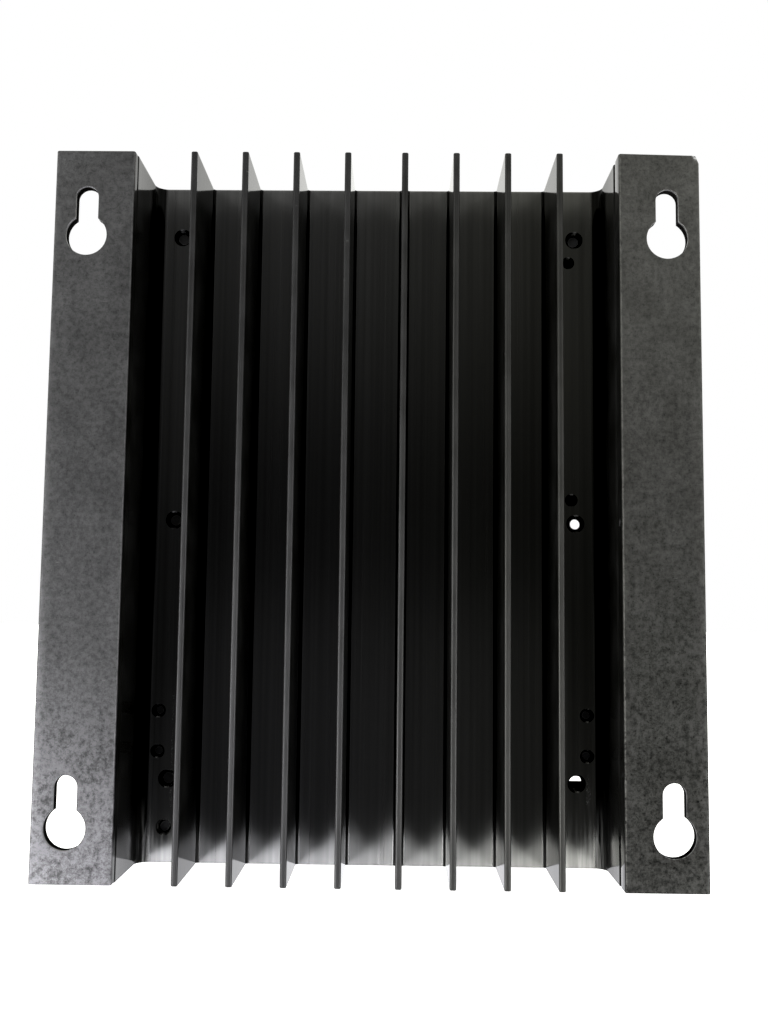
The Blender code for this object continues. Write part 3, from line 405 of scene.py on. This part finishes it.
def label_material():
    """A matt printed film with a plain border and no lettering."""
    made, g, shader = material("label_film")
    x, y, z = g.split(g.place())
    fine_edge = 0.1 * MM
    side = g.step(g.math("ABSOLUTE", x), LABEL_BORDER_X - fine_edge, LABEL_BORDER_X + fine_edge)
    low = g.step(z, LABEL_BORDER_Z[0] + fine_edge, LABEL_BORDER_Z[0] - fine_edge)
    high = g.step(z, LABEL_BORDER_Z[1] - fine_edge, LABEL_BORDER_Z[1] + fine_edge)
    border = g.math("MAXIMUM", side, g.math("MAXIMUM", low, high))
    band_low = g.step(z, LABEL_BAND_Z[0] - fine_edge, LABEL_BAND_Z[0] + fine_edge)
    band_high = g.step(z, LABEL_BAND_Z[1] + fine_edge, LABEL_BAND_Z[1] - fine_edge)
    band = g.math("MULTIPLY", band_low, band_high)
    band = g.math("SUBTRACT", band, g.math("MULTIPLY", band, border))
    patch = g.noise(70, 4.0)
    fine = g.noise(1800, 2.0)
    tone = g.blend(g.step(patch, 0.3, 0.75), (0.29, 0.305, 0.325), (0.31, 0.326, 0.345))
    tone = g.blend(border, tone, (0.05, 0.055, 0.06))
    tone = g.blend(band, tone, (0.03, 0.09, 0.16))
    g.put(shader["Base Color"], tone)
    g.put(shader["Roughness"], g.step(patch, 0.2, 0.8, 0.38, 0.52))
    g.put(shader["Normal"], g.bump(fine, 0.012 * MM, 0.6))
    return made


def window_material():
    """Clear acrylic with faint wiping marks."""
    made, g, shader = material("clear_window")
    patch = g.noise(120, 4.0)
    wipe = g.noise(1.0, 2.0, (90, 90, 1100), shift=2.0)
    g.put(shader["Base Color"], g.blend(patch, (0.9, 0.94, 0.93), (0.97, 0.98, 0.97)))
    g.put(shader["Transmission Weight"], 0.95)
    g.put(shader["IOR"], 1.49)
    g.put(shader["Roughness"], g.step(g.math("MULTIPLY", patch, wipe), 0.1, 0.6, 0.03, 0.14))
    g.put(shader["Normal"], g.bump(wipe, 0.004 * MM, 0.3))
    return made


def led_material():
    """A tinted, slightly milky lens."""
    made, g, shader = material("led_lens")
    patch = g.noise(500, 3.0)
    g.put(shader["Base Color"], g.blend(patch, (0.3, 0.6, 0.28), (0.5, 0.75, 0.42)))
    g.put(shader["Transmission Weight"], 0.4)
    g.put(shader["Roughness"], g.step(patch, 0.2, 0.8, 0.1, 0.25))
    g.put(shader["Normal"], g.bump(patch, 0.01 * MM, 0.4))
    return made


def display_material():
    """A dark metal frame round a grey-green screen of unlit dot cells."""
    made, g, shader = material("display_frame")
    x, y, z = g.split(g.place())
    height = g.math("SUBTRACT", z, DISPLAY_Z)
    half_wide, half_tall = DISPLAY_HALF
    wide = g.step(g.math("ABSOLUTE", x), half_wide + 0.1 * MM, half_wide - 0.1 * MM)
    tall = g.step(g.math("ABSOLUTE", height), half_tall + 0.1 * MM, half_tall - 0.1 * MM)
    front = g.step(y, DISPLAY_FRONT_Y + 0.15 * MM, DISPLAY_FRONT_Y - 0.15 * MM)
    screen = g.math("MULTIPLY", front, g.math("MULTIPLY", wide, tall))
    column = g.math("FRACT", g.math("MULTIPLY", x, 1 / DISPLAY_CELL[0]))
    row = g.math("FRACT", g.math("MULTIPLY", height, 1 / DISPLAY_CELL[1]))
    cell = g.math("MULTIPLY", g.step(column, 0.14, 0.18), g.step(row, 0.1, 0.14))
    patch = g.noise(130, 4.0)
    glass = g.blend(g.math("MULTIPLY", cell, 0.5), (0.13, 0.17, 0.08), (0.08, 0.11, 0.05))
    metal = g.blend(patch, (0.03, 0.032, 0.035), (0.07, 0.072, 0.078))
    g.put(shader["Base Color"], g.blend(screen, metal, glass))
    g.put(shader["Roughness"], g.step(patch, 0.2, 0.8, 0.2, 0.42))
    g.put(shader["Normal"], g.bump(g.noise(1500, 2.0), 0.008 * MM, 0.4))
    return made


def floor_material():
    """Plain pale paper."""
    made, g, shader = material("floor_paper")
    g.put(shader["Base Color"], g.blend(g.noise(14, 5.0), (0.86, 0.86, 0.85), (0.9, 0.9, 0.89)))
    g.put(shader["Roughness"], g.step(g.noise(300, 3.0), 0.3, 0.7, 0.8, 0.95))
    g.put(shader["Emission Color"], (1.0, 0.995, 0.985, 1.0))
    g.put(shader["Emission Strength"], 1.0)
    return made


def grey(level):
    """An even grey as a colour."""
    return (level, level, level)


def all_materials():
    """One material for each slot of the record."""
    made = {
        "chassis_anodised": chassis_material(),
        "cover_paint": cover_paint(),
        "circuit_board": board_material(),
        "clear_window": window_material(),
        "led_lens": led_material(),
        "display_frame": display_material(),
        "label_film": label_material(),
    }
    for name, clean, dull, rough, lines in (
        ("zinc_hardware", (0.56, 0.57, 0.57), (0.4, 0.4, 0.39), 0.3, (1, 1, 1)),
        ("black_screw_steel", (0.06, 0.06, 0.062), (0.035, 0.034, 0.033), 0.36, (1, 1, 1)),
        ("brass_hardware", (0.66, 0.6, 0.44), (0.5, 0.43, 0.27), 0.28, (1, 1, 1)),
        ("tinned_copper", (0.7, 0.66, 0.6), (0.52, 0.45, 0.38), 0.32, (1, 1, 0.02)),
    ):
        made[name] = plated(name, clean, dull, rough, lines)
    for name, dark, light, rough, grain in (
        ("black_plastic", grey(0.012), grey(0.022), 0.45, 900),
        ("terminal_plastic", (0.014, 0.03, 0.022), (0.024, 0.045, 0.034), 0.42, 900),
        ("button_plastic", (0.2, 0.21, 0.23), (0.27, 0.28, 0.3), 0.4, 900),
        ("silicone_pad", (0.4, 0.41, 0.43), (0.48, 0.49, 0.5), 0.75, 900),
        ("grommet_rubber", grey(0.012), (0.024, 0.023, 0.022), 0.68, 1600),
        ("capacitor_sleeve", (0.01, 0.016, 0.05), (0.016, 0.026, 0.075), 0.3, 400),
    ):
        made[name] = moulded(name, dark, light, rough, grain)
    return made


# --- Mesh helpers -----------------------------------------------------------------------


def rounded(corners, steps):
    """An outline from (x, y, radius) corners, each rounded with an arc of that many steps."""
    outline = []
    for index, (x, y, radius) in enumerate(corners):
        here = Vector((x, y))
        if radius == 0:
            outline.append(here)
            continue
        before = (Vector(corners[index - 1][:2]) - here).normalized()
        after = (Vector(corners[(index + 1) % len(corners)][:2]) - here).normalized()
        half = before.angle(after) / 2
        centre = here + (before + after).normalized() * radius / math.sin(half)
        start = here + before * radius / math.tan(half) - centre
        end = here + after * radius / math.tan(half) - centre
        for step in range(steps + 1):
            outline.append(centre + start.slerp(end, step / steps).normalized() * radius)
    return outline


def offset(outline, distance):
    """The outline moved outwards by a distance; a negative one moves it inwards."""
    count = len(outline)
    area = sum(outline[i - 1].cross(outline[i]) for i in range(count))
    sign = 1 if area > 0 else -1
    moved = []
    for index, point in enumerate(outline):
        before = (point - outline[index - 1]).normalized()
        after = (outline[(index + 1) % count] - point).normalized()
        along = (before + after).normalized()
        out = Vector((along.y, -along.x)) * sign
        stretch = max(0.5, out.dot(Vector((before.y, -before.x)) * sign))
        moved.append(point + out * distance / stretch)
    return moved


def loft(bm, rings):
    """Joins rings of points into one closed solid."""
    made = [[bm.verts.new(point) for point in ring] for ring in rings]
    count = len(made[0])
    for low, high in zip(made, made[1:]):
        for index in range(count):
            after = (index + 1) % count
            bm.faces.new((low[index], low[after], high[after], high[index]))
    bm.faces.new(made[0])
    bm.faces.new(made[-1])


def piece(name, bm, look=None, smooth=35):
    """A new object from a bmesh in the row frame."""
    bmesh.ops.recalc_face_normals(bm, faces=bm.faces)
    mesh = bpy.data.meshes.new(name)
    bm.to_mesh(mesh)
    bm.free()
    mesh.shade_smooth()
    mesh.set_sharp_from_angle(angle=math.radians(smooth))
    if look:
        mesh.materials.append(look)
    made = bpy.data.objects.new(name, mesh)
    bpy.context.scene.collection.objects.link(made)
    return made


def less(whole, cutter_bm):
    """Cuts a solid and applies the cut."""
    cutter = piece("cutter", cutter_bm)
    modifier = whole.modifiers.new("Cut", "BOOLEAN")
    modifier.operation = "DIFFERENCE"
    modifier.solver = "EXACT"
    modifier.object = cutter
    bpy.context.view_layer.update()
    graph = bpy.context.evaluated_depsgraph_get()
    mesh = bpy.data.meshes.new_from_object(whole.evaluated_get(graph))
    whole.modifiers.clear()
    whole.data = mesh
    bpy.data.objects.remove(cutter, do_unlink=True)


# --- Chassis ----------------------------------------------------------------------------


def chassis_outline():
    """The section with its real edge radii, and a shallow groove high on each side wall."""
    edge = WIDTH / 2
    inner = edge - FLANGE_WIDTH
    outer = inner + WALL_THICKNESS
    corners = [(-edge, 0.0, 0.8 * MM), (-inner, 0.0, 0.8 * MM)]
    corners += [
        (-inner, GROOVE_Y[0], SMALL_RADIUS),
        (-inner - GROOVE_DEPTH, GROOVE_Y[0] - 0.5 * MM, SMALL_RADIUS / 2),
        (-inner - GROOVE_DEPTH, GROOVE_Y[1] + 0.6 * MM, SMALL_RADIUS / 2),
        (-inner, GROOVE_Y[1], SMALL_RADIUS),
        (-inner, -FIN_HEIGHT, WALL_FILLET),
    ]
    half = FIN_THICKNESS / 2
    right = [FIRST_FIN_X + FIN_PITCH * index for index in range(FINS_A_SIDE)]
    for x in [-x for x in reversed(right)] + right:
        corners += [
            (x - half, -FIN_HEIGHT, 1.0 * MM),
            (x - half, 0.0, 0.6 * MM),
            (x + half, 0.0, 0.6 * MM),
            (x + half, -FIN_HEIGHT, 1.0 * MM),
        ]
    corners += [
        (inner, -FIN_HEIGHT, WALL_FILLET),
        (inner, LAND_Y[1], SMALL_RADIUS),
        (inner + LAND_HEIGHT, LAND_Y[0], SMALL_RADIUS),
        (inner + LAND_HEIGHT, 0.0, 0.8 * MM),
        (edge, 0.0, 0.8 * MM),
        (edge, -FLANGE_THICKNESS, 0.8 * MM),
        (outer, -FLANGE_THICKNESS, 1.0 * MM),
        (outer, FACE_Y, 0.8 * MM),
        (-outer, FACE_Y, 0.8 * MM),
        (-outer, -FLANGE_THICKNESS, 1.0 * MM),
        (-edge, -FLANGE_THICKNESS, 0.8 * MM),
    ]
    return rounded(corners, 6)


def keyhole_outline():
    """A round hole with a narrower slot above it."""
    mouth = math.asin(SLOT_RADIUS / KEYHOLE_RADIUS)
    sweep = 2 * (math.pi - mouth)
    outline = []
    for step in range(49):
        angle = math.pi / 2 + mouth + sweep * step / 48
        outline.append(Vector((KEYHOLE_RADIUS * math.cos(angle), KEYHOLE_RADIUS * math.sin(angle))))
    for step in range(25):
        angle = math.pi * step / 24
        outline.append(Vector((SLOT_RADIUS * math.cos(angle), SLOT_RISE + SLOT_RADIUS * math.sin(angle))))
    return outline


def add_keyhole(bm, x, z):
    """A keyhole cutter that breaks the edge on both faces of the flange."""
    outline = keyhole_outline()
    rings = []
    for y, grow in (
        (-FLANGE_THICKNESS - 1 * MM, RIM_BREAK + 1 * MM),
        (-FLANGE_THICKNESS + RIM_BREAK, 0.0),
        (-RIM_BREAK, 0.0),
        (1 * MM, RIM_BREAK + 1 * MM),
    ):
        rings.append([Vector((x + p.x, y, z + p.y)) for p in offset(outline, grow)])
    loft(bm, rings)


def add_tapped(bm, x, z, radius, depth=BASE_THICKNESS, steps=28):
    """A tapped hole from the front face: a countersink, then ridges at the thread pitch."""
    rings = [(FACE_Y - 1 * MM, radius + 1.3 * MM), (FACE_Y + 0.3 * MM, radius)]
    y = FACE_Y + 0.5 * MM
    end = FACE_Y + depth
    while y < end - 0.9 * MM:
        rings.append((y, radius - THREAD_HEIGHT))
        rings.append((y + THREAD_PITCH / 2, radius))
        y += THREAD_PITCH
    if depth >= BASE_THICKNESS:
        rings += [(end - 0.35 * MM, radius), (end + 1 * MM, radius + 1.35 * MM)]
    made = []
    for y, r in rings:
        angles = [2 * math.pi * step / steps for step in range(steps)]
        made.append([Vector((x + r * math.cos(a), y, z + r * math.sin(a))) for a in angles])
    loft(bm, made)


def bruise(chassis):
    """Pushes the knocked corner of one flange in."""
    for vertex in chassis.data.vertices:
        away = vertex.co - BRUISED_CORNER
        away.y = 0
        near = 1 - away.length / BRUISE_REACH
        if near > 0:
            vertex.co += near * BRUISE_PUSH


def make_chassis(look):
    """The chassis as it is in the CAD, with thread ridges, broken edges and one bruised corner."""
    outline = chassis_outline()
    half = LENGTH / 2
    levels = [(half - distance * MM, 0.0) for distance in (6.0, 3.0, 1.8, 1.0)]
    for step in range(END_STEPS + 1):
        angle = math.pi / 2 * step / END_STEPS
        z = half - END_BREAK + END_BREAK * math.sin(angle)
        grow = -END_BREAK * (1 - math.cos(angle))
        levels += [(z, grow), (-z, grow)]
    levels.sort()
    rings = []
    for z, grow in levels:
        rings.append([Vector((p.x, p.y, z)) for p in offset(outline, grow)])
    bm = bmesh.new()
    loft(bm, rings)
    chassis = piece("chassis_extrusion", bm, look)
    cutter = bmesh.new()
    for side in (-1, 1):
        for z in KEYHOLE_Z:
            add_keyhole(cutter, side * KEYHOLE_X, z)
        for x, heights, radius in (COVER_HOLES, PLATE_HOLES):
            for z in heights:
                add_tapped(cutter, side * x, z, radius)
    for x, z, radius in (GROUND_HOLE, *SPARE_HOLES):
        add_tapped(cutter, x, z, radius)
    for x, z, radius in CLAMP_HOLES:
        add_tapped(cutter, x, z, radius, CLAMP_HOLE_DEPTH)
    less(chassis, cutter)
    bruise(chassis)
    chassis.data.set_sharp_from_angle(angle=math.radians(35))
    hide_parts("heatsink_chassis")
    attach(chassis, "chassis")
    return chassis


# --- Small parts on the board -----------------------------------------------------------


def add_block(bm, x, depth, z):
    size = Vector((x[1] - x[0], depth[1] - depth[0], z[1] - z[0]))
    centre = Vector((sum(x) / 2, FACE_Y - sum(depth) / 2, sum(z) / 2))
    bmesh.ops.create_cube(bm, size=1, matrix=Matrix.LocRotScale(centre, None, size))


def make_board_parts(looks):
    """Rows of small chips and their solder on the front of the board."""
    chance = random.Random(7)
    low = BOARD_FRONT
    high = low + 0.6 * MM
    chips = bmesh.new()
    caps = bmesh.new()
    for column in range(11):
        for row in range(6):
            if chance.random() < 0.25:
                continue
            x = (-42 + 8.4 * column + chance.uniform(-1.2, 1.2)) * MM
            z = (-8 + 5.5 * row + chance.uniform(-1, 1)) * MM
            wide, tall = (1.6 * MM, 0.8 * MM) if chance.random() < 0.5 else (0.8 * MM, 1.6 * MM)
            body = chips if chance.random() < 0.5 else caps
            add_block(body, (x - wide / 2, x + wide / 2), (low, high), (z - tall / 2, z + tall / 2))
    add_block(chips, (-8 * MM, 8 * MM), (low, low + 1.6 * MM), (32 * MM, 48 * MM))
    for name, bm, key in (("board_chips", chips, "black_plastic"), ("board_solder", caps, "tinned_copper")):
        made = piece(name, bm, looks[key])
        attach(made, "chassis")


# --- CAD nodes --------------------------------------------------------------------------


def dress_nodes(looks):
    """Gives each CAD node the material of its slot, and breaks its edges."""
    slots = {entry["node"]: entry["material_slot"] for entry in frame["record"]["subparts"]}
    for name, node in frame["nodes"].items():
        if node.hide_render:
            continue
        node.data.materials.clear()
        node.data.materials.append(looks[slots[name]])
        low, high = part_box(name)
        bevel = node.modifiers.new("Edges", "BEVEL")
        bevel.width = min(0.2 * MM, 0.12 * min(high - low))
        bevel.segments = 2
        bevel.limit_method = "ANGLE"
        bevel.angle_limit = math.radians(40)
        bevel.harden_normals = True


# --- Stage ------------------------------------------------------------------------------


def make_floor():
    bm = bmesh.new()
    bmesh.ops.create_grid(bm, size=6.0, matrix=Matrix.Translation((0, 0, cad_low.z - 0.1 * MM)))
    floor = piece("floor", bm, floor_material())
    floor.visible_glossy = False
    floor.visible_diffuse = False
    floor.visible_shadow = False
    floor.visible_transmission = False


def make_world():
    """A white studio. Its light comes from the sides and behind, most from low on one side."""
    world = bpy.data.worlds.new("studio")
    world.use_nodes = True
    bpy.context.scene.world = world
    g = Graph(world.node_tree)
    way = g.add("ShaderNodeTexCoord").outputs["Generated"]
    x, y, z = g.split(way)
    forward = g.math("MAXIMUM", y, 0.05)
    aside = g.math("DIVIDE", x, forward)
    rise = g.math("DIVIDE", z, forward)
    left = g.math("MULTIPLY", g.step(aside, 0.46, 0.66), g.step(rise, -0.02, -0.27, 1.3, 34.0))
    right = g.math("MULTIPLY", g.step(aside, -0.46, -0.66), g.step(rise, -0.02, -0.27, 1.3, 20.0))
    above = g.math("MULTIPLY", g.step(rise, 0.6, 1.0), 1.0)
    haze = g.math("ADD", g.step(rise, -0.02, 0.5, 0.06, 0.3), g.step(rise, -0.09, -0.16, 0.0, 0.09))
    near = g.math("ADD", haze, g.math("ADD", above, g.math("ADD", left, right)))
    front = g.lerp(g.step(y, 0.62, 0.35), near, 1.1)
    level = g.lerp(g.step(y, 0.1, -0.15), front, g.step(y, -0.82, -0.88, 1.35, 2.3))
    tint = g.blend(g.step(z, -0.6, 0.4), (0.95, 0.95, 1.0), (1.0, 1.0, 0.97))
    shader = world.node_tree.nodes["Background"].inputs
    seen = g.add("ShaderNodeLightPath").outputs["Is Camera Ray"]
    g.put(shader["Color"], g.blend(seen, tint, (1.0, 1.0, 1.0)))
    g.put(shader["Strength"], g.lerp(seen, level, 1.0))


def set_tones():
    """Plain tones whose darkest shades fall to black, as a small camera renders them."""
    view = bpy.context.scene.view_settings
    view.view_transform = "Standard"
    view.use_curve_mapping = True
    view.curve_mapping.black_level = (0.0016, 0.0016, 0.0016)
    view.curve_mapping.update()


def make_camera():
    """The viewpoint: in front of the fins, a little low, with the camera tipped down."""
    data = bpy.data.cameras.new("camera")
    data.lens = 38.40
    data.sensor_width = 36.0
    camera = bpy.data.objects.new("camera", data)
    bpy.context.scene.collection.objects.link(camera)
    face_wall_side = Matrix(((-1, 0, 0), (0, 0, 1), (0, 1, 0)))
    turn = Matrix.Rotation(math.radians(0.645), 3, "Z")
    turn = turn @ Matrix.Rotation(math.radians(0.733), 3, "Y")
    turn = turn @ Matrix.Rotation(math.radians(5.363), 3, "X")
    place = Matrix.Translation((-8.06 * MM, 328.13 * MM, -31.55 * MM))
    camera.matrix_world = place @ (face_wall_side @ turn).to_4x4()
    bpy.context.scene.camera = camera


def main():
    looks = all_materials()
    make_chassis(looks["chassis_anodised"])
    make_board_parts(looks)
    dress_nodes(looks)
    make_floor()
    make_world()
    make_camera()
    set_tones()


main()
